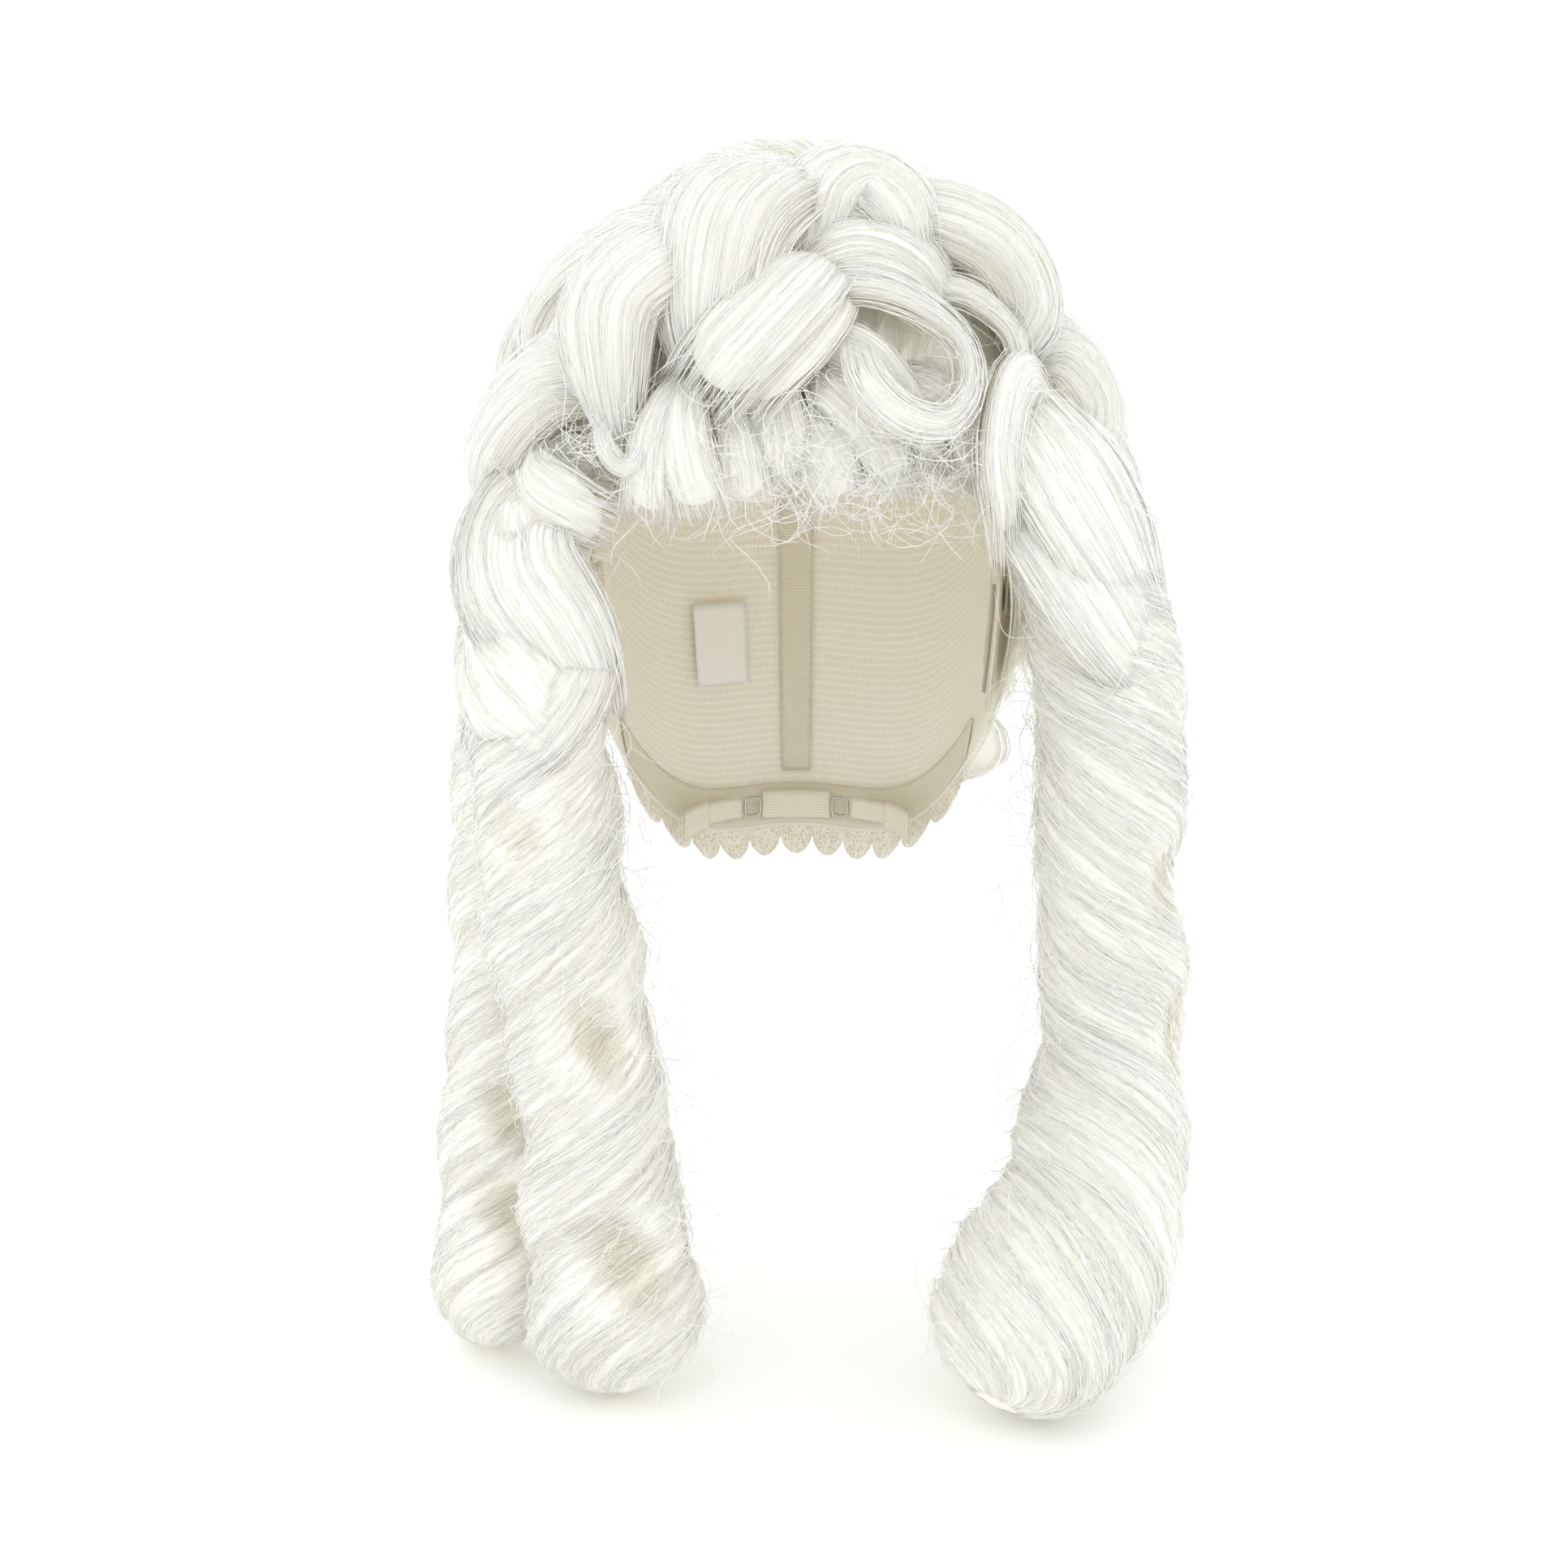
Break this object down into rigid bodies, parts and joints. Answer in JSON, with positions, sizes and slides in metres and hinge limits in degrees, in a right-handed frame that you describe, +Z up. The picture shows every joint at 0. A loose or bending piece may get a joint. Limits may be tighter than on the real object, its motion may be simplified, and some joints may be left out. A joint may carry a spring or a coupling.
{
  "type": "costume wig",
  "caption": "Full-bottomed curled costume wig: a sewn cap with rolled locks over the crown and sides and long ringlets that hang at each side of the face.",
  "frame": {"origin": "middle of the head opening of the cap, on its middle plane", "axes": "+Z up to the crown, the wearer faces -Y, +X to the viewer's right when the wig is seen from the front"},
  "size_m": [0.2628, 0.2673, 0.4198],
  "materials": {
    "hair": "ivory white synthetic hair fibre, heat-set in curls, soft satin shine along the strands",
    "net": "open knitted stretch net",
    "lining": "fine closed lace under the parting",
    "elastic": "ribbed woven elastic tape, matt",
    "weft": "triple-stitched weft header",
    "lace": "scalloped lace edging",
    "wire": "bright steel wire",
    "label": "blank white woven satin tape"
  },
  "bodies": {
    "cap": {"back_curl_row_1": "hair", "back_curl_row_2": "hair", "back_curl_row_3": "hair", "back_curl_row_4": "hair", "back_curl_row_5": "hair", "back_curl_row_6": "hair", "back_curl_row_7": "hair", "back_curl_row_8": "hair", "cap_net": "net", "cap_ribbon_back": "elastic", "cap_ribbon_left": "elastic", "cap_ribbon_right": "elastic", "care_label": "label", "crown_curl": "hair", "crown_panel": "lining", "crown_roll_left": "hair", "crown_roll_right": "hair", "crown_tip_left": "hair", "ear_stay_left": "wire", "ear_stay_right": "wire", "ear_tab_left": "elastic", "ear_tab_right": "elastic", "forelock_left": "hair", "fringe_lock_right": "hair", "fringe_tuft_1": "hair", "fringe_tuft_2": "hair", "fringe_tuft_3": "hair", "fringe_tuft_4": "hair", "front_band": "elastic", "hairline_lock": "hair", "hook_lock_right": "hair", "hook_tape": "elastic", "nape_band": "elastic", "nape_lace": "lace", "ring_curl_front": "hair", "ring_curl_side": "hair", "ringlet_root_left_front": "hair", "ringlet_root_left_outer": "hair", "ringlet_root_right_front": "hair", "ringlet_root_right_outer": "hair", "strap_casing_left": "elastic", "strap_casing_right": "elastic", "temple_roll_left_1": "hair", "temple_roll_left_2": "hair", "temple_roll_left_3": "hair", "temple_roll_right_1": "hair", "temple_roll_right_2": "hair", "temple_roll_right_3": "hair", "weft_row_1": "weft", "weft_row_2": "weft", "weft_row_3": "weft", "weft_row_4": "weft"},
    "ringlet_left_front": {"ringlet_left_front": "hair"},
    "ringlet_left_outer": {"ringlet_left_outer": "hair"},
    "ringlet_right_front": {"ringlet_right_front": "hair"},
    "ringlet_right_outer": {"ringlet_right_outer": "hair"},
    "adjuster_left": {"adjuster_strap_left": "elastic", "adjuster_hook_left": "wire"},
    "adjuster_right": {"adjuster_strap_right": "elastic", "adjuster_hook_right": "wire"}
  },
  "joints": [
    {"name": "ringlet_left_front_swing", "type": "hinge", "parent": "cap", "child": "ringlet_left_front", "pos_m": [-0.084, -0.074, -0.03], "axis": [1, 0, 0], "range_deg": [-30, 0]},
    {"name": "ringlet_left_outer_swing", "type": "hinge", "parent": "cap", "child": "ringlet_left_outer", "pos_m": [-0.098, -0.02, -0.03], "axis": [0, 1, 0], "range_deg": [0, 30]},
    {"name": "ringlet_right_front_swing", "type": "hinge", "parent": "cap", "child": "ringlet_right_front", "pos_m": [0.106, -0.054, -0.03], "axis": [1, 0, 0], "range_deg": [-30, 0]},
    {"name": "ringlet_right_outer_swing", "type": "hinge", "parent": "cap", "child": "ringlet_right_outer", "pos_m": [0.106, -0.001, -0.03], "axis": [0, -1, 0], "range_deg": [0, 30]},
    {"name": "adjuster_left_travel", "type": "hinge", "parent": "cap", "child": "adjuster_left", "pos_m": [0, 0.0252, -0.0705], "axis": [0, 0, -1], "range_deg": [0, 14]},
    {"name": "adjuster_right_travel", "type": "hinge", "parent": "cap", "child": "adjuster_right", "pos_m": [0, 0.0252, -0.0705], "axis": [0, 0, 1], "range_deg": [0, 14]}
  ]
}
